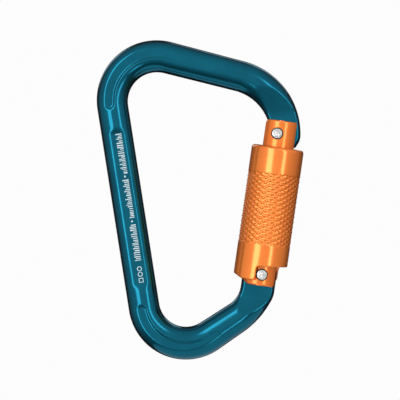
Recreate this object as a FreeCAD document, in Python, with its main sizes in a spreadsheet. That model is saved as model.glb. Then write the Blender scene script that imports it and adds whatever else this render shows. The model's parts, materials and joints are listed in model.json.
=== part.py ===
import FreeCAD, Part
import math
import os
import Sketcher

# Twist-lock carabiner: a forged aluminium C-shaped body closed by a hinged gate,
# with a spring-returned sleeve that turns on the gate.
#
# Row frame, millimetres: origin at the centre of the closed carabiner's box,
# +Z along the spine towards the nose end, +X towards the gate, Y through the thickness.
# Gate pieces are drawn in the gate's own frame ("across" = outward, "along" = up the
# gate from the level of the hinge rivet) and placed with gate_lean.

os.makedirs("parts", exist_ok=True)
doc = FreeCAD.newDocument("locking_carabiner")
V = FreeCAD.Vector

# How far a cutting outline runs past the metal it trims.
PAST = 3.0

DIMENSIONS = [
    ("hinge_x", 13.73, "hinge rivet, across the carabiner"),
    ("hinge_z", -31.64, "hinge rivet, along the spine"),
    ("gate_lean", 17.1, "gate axis, degrees from the spine"),
    ("hinge_inset", 0.66, "hinge rivet outside the gate axis"),
    ("latch_across", -1.10, "latch rivet from the gate axis"),
    ("latch_along", 51.2, "latch rivet above the hinge rivet"),
    ("bar_thickness", 10.0, "forged bar, front to back"),
    ("bar_round", 4.5, "rounding of the bar's long edges"),
    ("spine_outer", 35.71, "outside of the spine from the origin"),
    ("spine_inner", 24.49, "inside of the spine from the origin"),
    ("crown_outer", 69.75, "sharp corner of spine and top bar, outside"),
    ("crown_inner", 51.92, "sharp corner of spine and top bar, inside"),
    ("heel_outer", 70.60, "sharp corner of spine and bottom bar, outside"),
    ("heel_inner", 51.35, "sharp corner of spine and bottom bar, inside"),
    ("knee_x", 10.08, "sharp corner under the hinge, across"),
    ("knee_z", 48.24, "sharp corner under the hinge, below the origin"),
    ("nose_outer", 7.64, "outside of the nose from the gate axis"),
    ("nose_inner", 3.09, "inside of the nose from the gate axis"),
    ("nose_corner_outer", 72.65, "sharp corner of nose and top bar, outside"),
    ("nose_corner_inner", 62.80, "sharp corner of nose and top bar, inside"),
    ("nose_stub", 44.0, "low end of the nose before it is trimmed"),
    ("nose_tip", 46.9, "tip of the nose at its outer corner"),
    ("nose_tip_rise", 0.6, "rise of the tip towards its inner corner"),
    ("tongue_outer", 6.10, "outside of the hinge tongue from the gate axis"),
    ("tongue_inner", 6.20, "inside of the hinge tongue from the gate axis"),
    ("tongue_corner_outer", 7.60, "sharp corner of tongue and knee, outside"),
    ("tongue_corner_inner", 9.50, "sharp corner of tongue and bottom bar, inside"),
    ("tongue_stub", 8.0, "top end of the tongue before it is trimmed"),
    ("tongue_top", 3.6, "flat top of the tongue, which the plunger rides on"),
    ("tongue_top_round", 2.7, "rounded corners of the tongue's top"),
    ("round_nose_outer", 27.07, "bend radius over the nose, outside"),
    ("round_nose_inner", 17.03, "bend radius over the nose, inside"),
    ("round_crown_outer", 21.70, "upper basket radius, outside"),
    ("round_crown_inner", 10.53, "upper basket radius, inside"),
    ("round_heel_outer", 20.81, "lower basket radius, outside"),
    ("round_heel_inner", 9.76, "lower basket radius, inside"),
    ("round_knee", 32.0, "bend radius under the knee"),
    ("round_tongue", 9.2, "bend radius into the tongue"),
    ("thin", 5.4, "thickness of the nose and of the tongue"),
    ("tongue_flat_end", 9.0, "end of the tongue's flat faces, below the hinge rivet"),
    ("tongue_ramp_end", 14.6, "end of the ramps under them, below the hinge rivet"),
    ("tongue_cut_middle", 1.5, "middle of the tongue's flattening, inward of the gate axis"),
    ("tongue_cut_width", 21.0, "width of the tongue's flattening"),
    ("nose_thin_top", 25.0, "top of the nose's thin faces, along the spine"),
    ("nose_ramp_top", 35.5, "top of the ramps above them, along the spine"),
    ("nose_cut_middle", 28.5, "middle of the nose's flattening, across the carabiner"),
    ("nose_cut_width", 40.0, "width of the nose's flattening"),
    ("nose_cut_foot", -10.0, "foot of the nose's flattening, clear of the nose's tip"),
    ("nose_toe", 6.2, "outside of the nose's tapered tip, from the gate axis"),
    ("nose_toe_start", 50.2, "start of that taper, up the gate axis"),
    ("nose_toe_round", 6.0, "rounding into the taper"),
    ("nose_tip_round", 0.8, "outer corner of the nose's tip"),
    ("nose_tip_inner_round", 0.8, "inner corner of the nose's tip"),
    ("latch_slot", 3.8, "width of the nose's slot for the latch rivet"),
    ("latch_slot_round", 1.85, "rounded end of that slot"),
    ("panel_top", 27.9, "top of the flat panel on the spine"),
    ("panel_bottom", 29.2, "bottom of the flat panel on the spine"),
    ("panel_margin", 1.7, "edge of the panel from the spine's outside"),
    ("panel_depth", 0.5, "depth of the panel"),
    ("panel_round", 2.2, "corners of the panel"),
    ("track_margin", 2.3, "recess from the bar's outside"),
    ("track_width", 4.05, "width of the recess round each basket"),
    ("track_depth", 0.7, "depth of the recess round each basket"),
    ("track_end", 34.3, "end of both recesses on the spine"),
    ("upper_track_far", 48.0, "end of the upper recess along the top bar"),
    ("lower_track_far", 36.0, "end of the lower recess along the bottom bar"),
    ("gate_radius", 6.3, "gate bar"),
    ("gate_bottom", 4.0, "lower end of the gate, below the hinge rivet"),
    ("gate_top", 56.0, "upper end of the gate"),
    ("gate_foot_round", 0.7, "lower edge of the gate"),
    ("gate_top_round", 0.6, "upper edge of the gate"),
    ("ear_round_top", 2.4, "inner top corner of the upper ears"),
    ("ear_round_foot", 3.2, "inner lower corner of the lower ears"),
    ("gate_slot", 5.8, "width of the gate's two slots"),
    ("hinge_slot_floor", 5.5, "floor of the slot for the tongue"),
    ("nose_slot_floor", 46.1, "floor of the slot for the nose"),
    ("rivet_radius", 1.6, "rivet shanks"),
    ("rivet_head", 1.95, "rivet heads"),
    ("rivet_head_round", 0.5, "rounded edge of the rivet heads"),
    ("rivet_seat", 5.6, "seat of the rivet heads from the middle plane"),
    ("rivet_seat_radius", 2.25, "spot face round each rivet head"),
    ("stop_head", 8.7, "top of the tall head that stops the sleeve"),
    ("flush_head", 6.6, "top of the other rivet heads"),
    ("running_gap", 0.06, "radial clearance of turning and sliding fits"),
    ("sleeve_radius", 9.48, "outside of the sleeve"),
    ("sleeve_bottom", 2.3, "skirt of the sleeve, below the hinge rivet"),
    ("sleeve_top", 46.4, "top of the sleeve"),
    ("sleeve_round", 1.2, "rounded top edge of the sleeve"),
    ("skirt_round", 0.5, "rounded lower edge of the sleeve"),
    ("bore_round", 0.3, "broken edges of the sleeve's bore"),
    ("skirt_bore", 8.0, "inside of the sleeve below its collar"),
    ("collar_bottom", 40.0, "underside of the sleeve's collar"),
    ("notch_start", -102.5, "first side of the notch, degrees from outward"),
    ("notch_sweep", 147.0, "width of the notch, degrees"),
    ("notch_top", 2.9, "top of the notch over the hinge rivet"),
    ("notch_slope", 5.4, "slope of the notch's top, degrees"),
    ("saddle_start", 6.4, "start of the skirt's relief, inward of the axis"),
    ("saddle_slope", 0.51, "rise of the relief per millimetre inward"),
    ("groove_along", 43.0, "guide groove and stud, up the gate"),
    ("groove_start", -12.0, "first end of the guide groove, degrees from outward"),
    ("groove_sweep", 150.0, "guide groove, degrees"),
    ("entry_inset", 8.0, "stud's way in, degrees short of the groove's far end"),
    ("stud_radius", 0.9, "guide stud"),
    ("stud_foot", 3.5, "foot of the guide stud from the gate axis"),
    ("stud_tip", 7.7, "tip of the guide stud from the gate axis"),
    ("ring_bottom", 8.0, "centring ring, lower face"),
    ("ring_top", 11.5, "centring ring, upper face"),
    ("plunger_tip", 1.6, "tip of the plunger"),
    ("plunger_tip_round", 1.5, "rounding of that tip"),
    ("plunger_tip_length", 2.0, "length of the slimmer tip"),
    ("plunger_cone", 0.6, "length of the cone above the tip"),
    ("plunger_radius", 2.1, "plunger"),
    ("plunger_shoulder", 11.0, "spring seat of the plunger"),
    ("plunger_stem", 1.1, "stem inside the gate spring"),
    ("plunger_top", 14.0, "top of the stem"),
    ("bore_end", 30.0, "blind end of the spring bore"),
    ("gate_spring_wire", 0.7, "wire of the gate spring"),
    ("gate_spring_coil", 1.65, "mean coil radius of the gate spring"),
    ("gate_spring_turns", 9.0, "turns of the gate spring"),
    ("sleeve_spring_wire", 1.1, "wire of the sleeve spring"),
    ("sleeve_spring_coil", 7.15, "mean coil radius of the sleeve spring"),
    ("sleeve_spring_low", 15.0, "first turn of the sleeve spring"),
    ("sleeve_spring_high", 38.9, "last turn of the sleeve spring"),
    ("upper_tang", 200.0, "upper tang of the sleeve spring, degrees"),
    ("tang_reach", 1.7, "length of both tangs beyond the coil"),
    ("tang_foot", 4.8, "foot of the lower tang's bore from the gate axis"),
    ("tang_gap", 0.1, "radial clearance round both tangs"),
    ("spring_gap", 0.05, "clearance at each end of the gate spring"),
    ("sleeve_spring_whole", 8.0, "whole turns of the sleeve spring"),
]

sheet = doc.addObject("Spreadsheet::Sheet", "dims")
for row, (alias, value, note) in enumerate(DIMENSIONS, start=1):
    sheet.set(f"A{row}", note)
    sheet.set(f"B{row}", str(value))
    sheet.setAlias(f"B{row}", alias)
doc.recompute()


def value_of(expression):
    """The number that an expression of the sheet's cells gives."""
    return float(sheet.evalExpression(expression))


def gate_point(across, along):
    """Row-frame x and z, as expressions, of a point given in the gate's frame."""
    lean = "dims.gate_lean * 1 deg"
    out = f"({across} - dims.hinge_inset)"
    x = f"dims.hinge_x + {out} * cos({lean}) + ({along}) * sin({lean})"
    z = f"dims.hinge_z - {out} * sin({lean}) + ({along}) * cos({lean})"
    return x, z


# ---- sketches -------------------------------------------------------------------

def new_body(label):
    body = doc.addObject("PartDesign::Body", label)
    body.Label = label
    return body


def plane_of(body, role):
    return next(item for item in body.Origin.OriginFeatures if item.Role == role)


def new_sketch(body, name, role, offset=V(0, 0, 0), turn_axis=V(0, 0, 1), turn=0.0):
    """A sketch on one of the body's own planes, moved and turned in that plane's frame."""
    sketch = body.newObject("Sketcher::SketchObject", name)
    sketch.AttachmentSupport = [(plane_of(body, role), "")]
    sketch.MapMode = "FlatFace"
    sketch.AttachmentOffset = FreeCAD.Placement(offset, FreeCAD.Rotation(turn_axis, turn))
    return sketch


def bind(sketch, constraint, expression):
    """Add a constraint and tie its value to the sheet."""
    index = sketch.addConstraint(constraint)
    sketch.setExpression(f"Constraints[{index}]", expression)


def pin_point(sketch, geometry, end, x, z):
    """Hold one point at two expressions measured from the sketch's origin."""
    for kind, expression in (("DistanceX", x), ("DistanceY", z)):
        if abs(value_of(expression)) < 1e-9:
            axis = -2 if kind == "DistanceX" else -1
            sketch.addConstraint(Sketcher.Constraint("PointOnObject", geometry, end, axis))
        else:
            constraint = Sketcher.Constraint(kind, -1, 1, geometry, end, value_of(expression))
            bind(sketch, constraint, expression)


def corner_arc(before, corner, after, radius):
    """Start, middle and end of the arc that rounds a corner."""
    back = (before - corner).normalize()
    ahead = (after - corner).normalize()
    half = back.getAngle(ahead) / 2
    middle = (back + ahead).normalize()
    centre = corner + middle * (radius / math.sin(half))
    reach = radius / math.tan(half)
    return corner + back * reach, centre - middle * radius, corner + ahead * reach


def outline(sketch, points):
    """A closed outline through sharp corners (x, z, radius), each radius None or an expression."""
    count = len(points)
    sharp = [V(value_of(x), value_of(z), 0) for x, z, radius in points]
    arcs = {}
    for i, (x, z, radius) in enumerate(points):
        if radius:
            arcs[i] = corner_arc(sharp[i - 1], sharp[i], sharp[(i + 1) % count], value_of(radius))
    lines = []
    for i in range(count):
        following = (i + 1) % count
        start = arcs[i][2] if i in arcs else sharp[i]
        end = arcs[following][0] if following in arcs else sharp[following]
        lines.append(sketch.addGeometry(Part.LineSegment(start, end), False))
    for i, (x, z, radius) in enumerate(points):
        before, after = lines[i - 1], lines[i]
        if not radius:
            sketch.addConstraint(Sketcher.Constraint("Coincident", before, 2, after, 1))
            pin_point(sketch, after, 1, x, z)
            continue
        arc = sketch.addGeometry(Part.Arc(*arcs[i]), False)
        # An arc's own start is its counter-clockwise end, whichever way it was drawn.
        starts_at_before = sketch.getPoint(arc, 1).distanceToPoint(arcs[i][0]) < 1e-6
        first, last = (1, 2) if starts_at_before else (2, 1)
        sketch.addConstraint(Sketcher.Constraint("Tangent", before, 2, arc, first))
        sketch.addConstraint(Sketcher.Constraint("Tangent", arc, last, after, 1))
        bind(sketch, Sketcher.Constraint("Radius", arc, value_of(radius)), radius)
        mark = sketch.addGeometry(Part.Point(sharp[i]), True)
        pin_point(sketch, mark, 1, x, z)
        sketch.addConstraint(Sketcher.Constraint("PointOnObject", mark, 1, before))
        sketch.addConstraint(Sketcher.Constraint("PointOnObject", mark, 1, after))


def polygon(sketch, points):
    outline(sketch, [(x, z, None) for x, z in points])


def circle(sketch, x, z, radius):
    middle = V(value_of(x), value_of(z), 0)
    ring = sketch.addGeometry(Part.Circle(middle, V(0, 0, 1), value_of(radius)), False)
    pin_point(sketch, ring, 3, x, z)
    bind(sketch, Sketcher.Constraint("Radius", ring, value_of(radius)), radius)


def rectangle(sketch, low_x, high_x, low_z, high_z):
    polygon(sketch, [(low_x, low_z), (high_x, low_z), (high_x, high_z), (low_x, high_z)])


# ---- features -------------------------------------------------------------------

def grow(body, kind, name, sketch):
    feature = body.newObject(f"PartDesign::{kind}", name)
    feature.Profile = sketch
    return feature


def padded(body, name, sketch, length):
    pad = grow(body, "Pad", name, sketch)
    pad.SideType = "Symmetric"
    pad.setExpression("Length", length)
    doc.recompute()
    return pad


def turned(body, name, sketch):
    """A full turn of a profile about the sketch's upright axis."""
    revolution = grow(body, "Revolution", name, sketch)
    revolution.ReferenceAxis = (sketch, ["V_Axis"])
    revolution.Angle = 360
    doc.recompute()
    return revolution


def pocket(body, name, sketch, depth=None, side="One side", away=False):
    """Cut a sketch, right through or to a depth, and make sure that it removed material."""
    doc.recompute()
    before = body.Shape.Volume
    cut = grow(body, "Pocket", name, sketch)
    cut.SideType = side
    cut.Reversed = away
    if depth is None:
        cut.Type = "ThroughAll"
    else:
        cut.setExpression("Length", depth)
    doc.recompute()
    if not before - body.Shape.Volume > 0.01:
        raise RuntimeError(f"{name} cut nothing")
    return cut


def mirrored(body, name, originals, role):
    """Repeat cuts on the far side of one of the body's planes."""
    before = body.Shape.Volume
    mirror = body.newObject("PartDesign::Mirrored", name)
    mirror.Originals = originals
    mirror.MirrorPlane = (plane_of(body, role), [""])
    body.Tip = mirror
    doc.recompute()
    if not before - body.Shape.Volume > 0.01:
        raise RuntimeError(f"{name} cut nothing")
    return mirror


def rounded(body, name, radius, keep):
    """Round the edges that keep(edge) picks."""
    base = body.Tip
    names = [f"Edge{i}" for i, edge in enumerate(base.Shape.Edges, start=1) if keep(edge)]
    fillet = body.newObject("PartDesign::Fillet", name)
    fillet.Base = (base, names)
    fillet.setExpression("Radius", radius)
    doc.recompute()
    return fillet


def place_in_gate(item, across="0", along="0", axis=V(0, 1, 0), turn="dims.gate_lean"):
    """Put an item drawn about its own origin at a point of the gate's frame."""
    item.Placement = FreeCAD.Placement(V(0, 0, 0), FreeCAD.Rotation(axis, value_of(turn)))
    x, z = gate_point(across, along)
    item.setExpression("Placement.Base.x", x)
    item.setExpression("Placement.Base.z", z)
    if turn != "90":
        item.setExpression("Placement.Rotation.Angle", f"({turn}) * 1 deg")
    doc.recompute()


# ---- body -----------------------------------------------------------------------

def bar_outline(body):
    """The C-shaped bar, its two ends left long and square."""
    sketch = new_sketch(body, "bar_outline", "XZ_Plane")
    outline(sketch, [
        (*gate_point("dims.nose_outer", "dims.nose_stub"), None),
        (*gate_point("dims.nose_outer", "dims.nose_corner_outer"), "dims.round_nose_outer"),
        ("-dims.spine_outer", "dims.crown_outer", "dims.round_crown_outer"),
        ("-dims.spine_outer", "-dims.heel_outer", "dims.round_heel_outer"),
        ("dims.knee_x", "-dims.knee_z", "dims.round_knee"),
        (*gate_point("dims.tongue_outer", "-dims.tongue_corner_outer"), "dims.round_tongue"),
        (*gate_point("dims.tongue_outer", "dims.tongue_stub"), None),
        (*gate_point("-dims.tongue_inner", "dims.tongue_stub"), None),
        (*gate_point("-dims.tongue_inner", "-dims.tongue_corner_inner"), "dims.round_tongue"),
        ("-dims.spine_inner", "-dims.heel_inner", "dims.round_heel_inner"),
        ("-dims.spine_inner", "dims.crown_inner", "dims.round_crown_inner"),
        (*gate_point("-dims.nose_inner", "dims.nose_corner_inner"), "dims.round_nose_inner"),
        (*gate_point("-dims.nose_inner", "dims.nose_stub"), None),
    ])
    return sketch


def is_long_edge(edge):
    """True for the bar's front and back edges, but not for those of its two ends."""
    half = value_of("dims.bar_thickness / 2")
    if any(abs(abs(point.y) - half) > 1e-4 for point in edge.discretize(3)):
        return False
    ends = (gate_point("0", "dims.nose_stub"), gate_point("0", "dims.tongue_stub"))
    lean = math.radians(value_of("dims.gate_lean"))
    for x, z in ends:
        offsets = [
            (point.x - value_of(x)) * math.sin(lean) + (point.z - value_of(z)) * math.cos(lean)
            for point in edge.discretize(3)
        ]
        if max(abs(offset) for offset in offsets) < 1e-4:
            return False
    return True


def thin_profile(sketch, flat_end, ramp_end, far):
    """Two mirrored areas beside a flat stretch that ramps up to the bar's full thickness.

    The ramp is carried half its length on, so that its area clears the bar's faces.
    """
    rise = "(dims.bar_thickness - dims.thin) / 2"
    top = f"dims.thin / 2 + {rise} * 1.5"
    beyond = f"{ramp_end} + ({ramp_end} - ({flat_end})) * 0.5"
    for sign in ("", "-"):
        polygon(sketch, [
            (f"{sign}dims.thin / 2", far),
            (f"{sign}dims.thin / 2", flat_end),
            (f"{sign}({top})", beyond),
            (f"{sign}({top})", far),
        ])


def thin_tongue(body):
    """Flatten the hinge tongue on both faces."""
    lean = value_of("dims.gate_lean")
    x, z = gate_point("-dims.tongue_cut_middle", "0")
    place = V(0, value_of(z), value_of(x))
    sketch = new_sketch(body, "tongue_flats", "YZ_Plane", place, V(1, 0, 0), lean)
    above = f"dims.tongue_stub + {PAST}"
    thin_profile(sketch, "-dims.tongue_flat_end", "-dims.tongue_ramp_end", above)
    pocket(body, "flat_tongue", sketch, "dims.tongue_cut_width", side="Symmetric")


def thin_nose(body):
    """Flatten the nose on both faces, fading into the bend above it."""
    place = V(0, 0, value_of("dims.nose_cut_middle"))
    sketch = new_sketch(body, "nose_flats", "YZ_Plane", place)
    thin_profile(sketch, "dims.nose_thin_top", "dims.nose_ramp_top", "dims.nose_cut_foot")
    pocket(body, "flat_nose", sketch, "dims.nose_cut_width", side="Symmetric")


def trim_ends(body):
    """Shape the nose's tip, its latch slot, the tongue's top and the hinge bore."""
    sketch = new_sketch(body, "end_shapes", "XZ_Plane")
    below = f"dims.nose_stub - {PAST}"
    above = f"dims.nose_toe_start + {PAST}"
    inner_tip = "dims.nose_tip + dims.nose_tip_rise"
    inner_above = f"{inner_tip} + 2 * dims.nose_tip_inner_round"
    outside = f"dims.nose_outer + {PAST}"
    inside = f"-dims.nose_inner - {PAST}"
    outline(sketch, [
        (*gate_point(outside, below), None),
        (*gate_point(outside, above), None),
        (*gate_point("dims.nose_outer", above), None),
        (*gate_point("dims.nose_outer", "dims.nose_toe_start"), "dims.nose_toe_round"),
        (*gate_point("dims.nose_toe", "dims.nose_tip"), "dims.nose_tip_round"),
        (*gate_point("-dims.nose_inner", inner_tip), "dims.nose_tip_inner_round"),
        (*gate_point("-dims.nose_inner", inner_above), None),
        (*gate_point(inside, inner_above), None),
        (*gate_point(inside, below), None),
    ])
    pocket(body, "nose_tip", sketch, side="Symmetric")

    sketch = new_sketch(body, "latch_slot", "XZ_Plane")
    slot = "dims.latch_slot / 2"
    deep = f"dims.latch_across + {slot}"
    outline(sketch, [
        (*gate_point(inside, f"dims.latch_along - {slot}"), None),
        (*gate_point(deep, f"dims.latch_along - {slot}"), "dims.latch_slot_round"),
        (*gate_point(deep, f"dims.latch_along + {slot}"), "dims.latch_slot_round"),
        (*gate_point(inside, f"dims.latch_along + {slot}"), None),
    ])
    pocket(body, "latch_catch", sketch, side="Symmetric")

    sketch = new_sketch(body, "tongue_end", "XZ_Plane")
    above = f"dims.tongue_stub + {PAST}"
    outside = f"dims.tongue_outer + {PAST}"
    inside = f"-dims.tongue_inner - {PAST}"
    outline(sketch, [
        (*gate_point(outside, "0"), None),
        (*gate_point(outside, above), None),
        (*gate_point(inside, above), None),
        (*gate_point(inside, "0"), None),
        (*gate_point("-dims.tongue_inner", "0"), None),
        (*gate_point("-dims.tongue_inner", "dims.tongue_top"), "dims.tongue_top_round"),
        (*gate_point("dims.tongue_outer", "dims.tongue_top"), "dims.tongue_top_round"),
        (*gate_point("dims.tongue_outer", "0"), None),
    ])
    pocket(body, "tongue_top", sketch, side="Symmetric")

    sketch = new_sketch(body, "hinge_bore", "XZ_Plane")
    circle(sketch, "dims.hinge_x", "dims.hinge_z", "dims.rivet_radius + dims.running_gap")
    pocket(body, "hinge_hole", sketch, side="Symmetric")


def basket_track(body, name, side, corner, bar_corner, radius, bar_far):
    """A recess that follows the outside of one basket, from the spine into the bar.

    side is 1 for the upper basket and -1 for the lower one; corner and bar_corner are the
    sharp corners of the bar's outside at the two ends of the straight beyond the basket.
    """
    sketch = new_sketch(body, name, "XZ_Plane", V(0, 0, value_of("dims.bar_thickness / 2")))
    along = (bar_corner - corner).normalize()
    inward = V(along.y, -along.x, 0) * side
    near = value_of("dims.track_margin")
    far = near + value_of("dims.track_width")
    end = side * value_of("dims.track_end")
    # A shade under half the width, which leaves the end caps a straight too short to see.
    cap = "dims.track_width / 2 - 0.02"

    def crossing(margin):
        """Corner of the two lines that run this far inside the spine and the bar."""
        shift = (margin - inward.x * margin) / along.x
        return corner + inward * margin + along * shift

    def written(point, rounding):
        return str(point.x), str(point.y), rounding

    outer, inner = crossing(near), crossing(far)
    stop = corner + along * value_of(bar_far)
    outline(sketch, [
        written(V(outer.x, end, 0), cap),
        written(outer, f"{radius} - dims.track_margin"),
        written(stop + inward * near, cap),
        written(stop + inward * far, cap),
        written(inner, f"{radius} - dims.track_margin - dims.track_width"),
        written(V(inner.x, end, 0), cap),
    ])
    return pocket(body, f"{name}_cut", sketch, "dims.track_depth")


def upper_track(body):
    corner = V(-value_of("dims.spine_outer"), value_of("dims.crown_outer"), 0)
    x, z = gate_point("dims.nose_outer", "dims.nose_corner_outer")
    bar_corner = V(value_of(x), value_of(z), 0)
    return basket_track(body, "upper_track", 1, corner, bar_corner,
                        "dims.round_crown_outer", "dims.upper_track_far")


def lower_track(body):
    corner = V(-value_of("dims.spine_outer"), -value_of("dims.heel_outer"), 0)
    bar_corner = V(value_of("dims.knee_x"), -value_of("dims.knee_z"), 0)
    return basket_track(body, "lower_track", -1, corner, bar_corner,
                        "dims.round_heel_outer", "dims.lower_track_far")


def spine_panel(body):
    """The shallow flat panel along the spine."""
    half = value_of("dims.bar_thickness / 2")
    sketch = new_sketch(body, "panel", "XZ_Plane", V(0, 0, half))
    left = "-dims.spine_outer + dims.panel_margin"
    right = "-dims.spine_inner - dims.panel_margin"
    outline(sketch, [
        (left, "-dims.panel_bottom", "dims.panel_round"),
        (right, "-dims.panel_bottom", "dims.panel_round"),
        (right, "dims.panel_top", "dims.panel_round"),
        (left, "dims.panel_top", "dims.panel_round"),
    ])
    return pocket(body, "panel_cut", sketch, "dims.panel_depth")


def make_body():
    body = new_body("body")
    padded(body, "bar", bar_outline(body), "dims.bar_thickness")
    rounded(body, "bar_edges", "dims.bar_round", is_long_edge)
    recesses = [spine_panel(body), upper_track(body), lower_track(body)]
    mirrored(body, "back_recesses", recesses, "XZ_Plane")
    thin_tongue(body)
    thin_nose(body)
    trim_ends(body)
    return body


# ---- gate and what it holds -----------------------------------------------------

def round_ears(body, end, way, level, size):
    """Round the inner corner of the ears at one end of the gate; way is 1 at its top."""
    sketch = new_sketch(body, f"{end}_corner", "XZ_Plane")
    beside = f"-dims.gate_radius - {PAST}"
    before = f"{level} - {way} * 2 * {size}"
    after = f"{level} + {way} * {PAST}"
    outline(sketch, [
        ("-dims.gate_radius", before, None),
        ("-dims.gate_radius", level, size),
        ("0", level, None),
        ("0", after, None),
        (beside, after, None),
        (beside, before, None),
    ])
    pocket(body, f"{end}_round", sketch, side="Symmetric")


def make_gate():
    body = new_body("gate")
    sketch = new_sketch(body, "gate_profile", "XZ_Plane")
    outline(sketch, [
        ("0", "-dims.gate_bottom", None),
        ("dims.gate_radius", "-dims.gate_bottom", "dims.gate_foot_round"),
        ("dims.gate_radius", "dims.gate_top", "dims.gate_top_round"),
        ("0", "dims.gate_top", None),
    ])
    turned(body, "gate_bar", sketch)

    round_ears(body, "top", 1, "dims.gate_top", "dims.ear_round_top")
    round_ears(body, "foot", -1, "-dims.gate_bottom", "dims.ear_round_foot")

    sketch = new_sketch(body, "slots", "YZ_Plane")
    half = "dims.gate_slot / 2"
    rectangle(sketch, f"-{half}", half, f"-dims.gate_bottom - {PAST}", "dims.hinge_slot_floor")
    rectangle(sketch, f"-{half}", half, "dims.nose_slot_floor", f"dims.gate_top + {PAST}")
    pocket(body, "fork_slots", sketch, side="Symmetric")

    sketch = new_sketch(body, "rivet_bores", "XZ_Plane")
    circle(sketch, "dims.hinge_inset", "0", "dims.rivet_radius")
    circle(sketch, "dims.latch_across", "dims.latch_along", "dims.rivet_radius")
    pocket(body, "rivet_holes", sketch, side="Symmetric")

    sketch = new_sketch(body, "rivet_seats", "XZ_Plane", V(0, 0, value_of("dims.rivet_seat")))
    circle(sketch, "dims.hinge_inset", "0", "dims.rivet_seat_radius")
    circle(sketch, "dims.latch_across", "dims.latch_along", "dims.rivet_seat_radius")
    seats = pocket(body, "front_seats", sketch, away=True)
    mirrored(body, "back_seats", [seats], "XZ_Plane")

    sketch = new_sketch(body, "spring_bore", "XY_Plane")
    circle(sketch, "0", "0", "dims.plunger_radius + dims.running_gap")
    pocket(body, "spring_hole", sketch, "dims.bore_end", away=True)

    sketch = new_sketch(body, "stud_bore", "YZ_Plane", V(0, 0, value_of("dims.stud_foot")))
    circle(sketch, "0", "dims.groove_along", "dims.stud_radius")
    pocket(body, "stud_hole", sketch, away=True)

    sketch = new_sketch(body, "tang_bore", "YZ_Plane", V(0, 0, value_of("dims.tang_foot")))
    circle(sketch, "0", "dims.sleeve_spring_low", "dims.sleeve_spring_wire / 2 + dims.tang_gap")
    pocket(body, "tang_hole", sketch, away=True)
    place_in_gate(body)
    return body


def make_rivet(label, across, along, front, back):
    """A peened rivet through both ears: a shank, and a head at each side."""
    body = new_body(label)
    sketch = new_sketch(body, f"{label}_profile", "XZ_Plane")
    outline(sketch, [
        ("0", f"-{back}", None),
        ("dims.rivet_head", f"-{back}", "dims.rivet_head_round"),
        ("dims.rivet_head", "-dims.rivet_seat", None),
        ("dims.rivet_radius", "-dims.rivet_seat", None),
        ("dims.rivet_radius", "dims.rivet_seat", None),
        ("dims.rivet_head", "dims.rivet_seat", None),
        ("dims.rivet_head", front, "dims.rivet_head_round"),
        ("0", front, None),
    ])
    turned(body, f"{label}_turned", sketch)
    place_in_gate(body, across, along, V(1, 0, 0), "90")
    return body


def make_guide_stud():
    stud = doc.addObject("Part::Cylinder", "guide_stud")
    stud.Label = "guide_stud"
    stud.setExpression("Radius", "dims.stud_radius")
    stud.setExpression("Height", "dims.stud_tip - dims.stud_foot")
    place_in_gate(stud, "dims.stud_foot", "dims.groove_along", turn="dims.gate_lean + 90")
    return stud


def make_centring_ring():
    body = new_body("centring_ring")
    sketch = new_sketch(body, "ring_section", "XZ_Plane")
    rectangle(sketch, "dims.gate_radius", "dims.skirt_bore - dims.running_gap",
              "dims.ring_bottom", "dims.ring_top")
    turned(body, "ring", sketch)
    place_in_gate(body)
    return body


def make_plunger():
    body = new_body("gate_plunger")
    sketch = new_sketch(body, "plunger_profile", "XZ_Plane")
    cone = "dims.tongue_top + dims.plunger_tip_length"
    outline(sketch, [
        ("0", "dims.tongue_top", None),
        ("dims.plunger_tip", "dims.tongue_top", "dims.plunger_tip_round"),
        ("dims.plunger_tip", cone, None),
        ("dims.plunger_radius", f"{cone} + dims.plunger_cone", None),
        ("dims.plunger_radius", "dims.plunger_shoulder", None),
        ("dims.plunger_stem", "dims.plunger_shoulder", None),
        ("dims.plunger_stem", "dims.plunger_top", None),
        ("0", "dims.plunger_top", None),
    ])
    turned(body, "plunger", sketch)
    place_in_gate(body)
    return body


# ---- sleeve ---------------------------------------------------------------------

def sleeve_blank(body):
    sketch = new_sketch(body, "sleeve_profile", "XZ_Plane")
    collar_bore = "dims.gate_radius + dims.running_gap"
    outline(sketch, [
        ("dims.skirt_bore", "-dims.sleeve_bottom", "dims.bore_round"),
        ("dims.sleeve_radius", "-dims.sleeve_bottom", "dims.skirt_round"),
        ("dims.sleeve_radius", "dims.sleeve_top", "dims.sleeve_round"),
        (collar_bore, "dims.sleeve_top", "dims.bore_round"),
        (collar_bore, "dims.collar_bottom", None),
        ("dims.skirt_bore", "dims.collar_bottom", None),
    ])
    turned(body, "sleeve_turned", sketch)


def guide_groove(body):
    """The part-turn groove in the collar that the guide stud runs in."""
    sketch = new_sketch(body, "groove_section", "XZ_Plane", turn_axis=V(0, 1, 0),
                        turn=value_of("dims.groove_start"))
    reach = "(dims.stud_radius + dims.running_gap)"
    rectangle(sketch, "dims.gate_radius - 1", "dims.skirt_bore",
              f"dims.groove_along - {reach}", f"dims.groove_along + {reach}")
    before = body.Shape.Volume
    groove = grow(body, "Groove", "guide_groove", sketch)
    groove.ReferenceAxis = (sketch, ["V_Axis"])
    groove.setExpression("Angle", "dims.groove_sweep * 1 deg")
    doc.recompute()
    if not before - body.Shape.Volume > 0.01:
        raise RuntimeError("guide_groove cut nothing")


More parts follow.
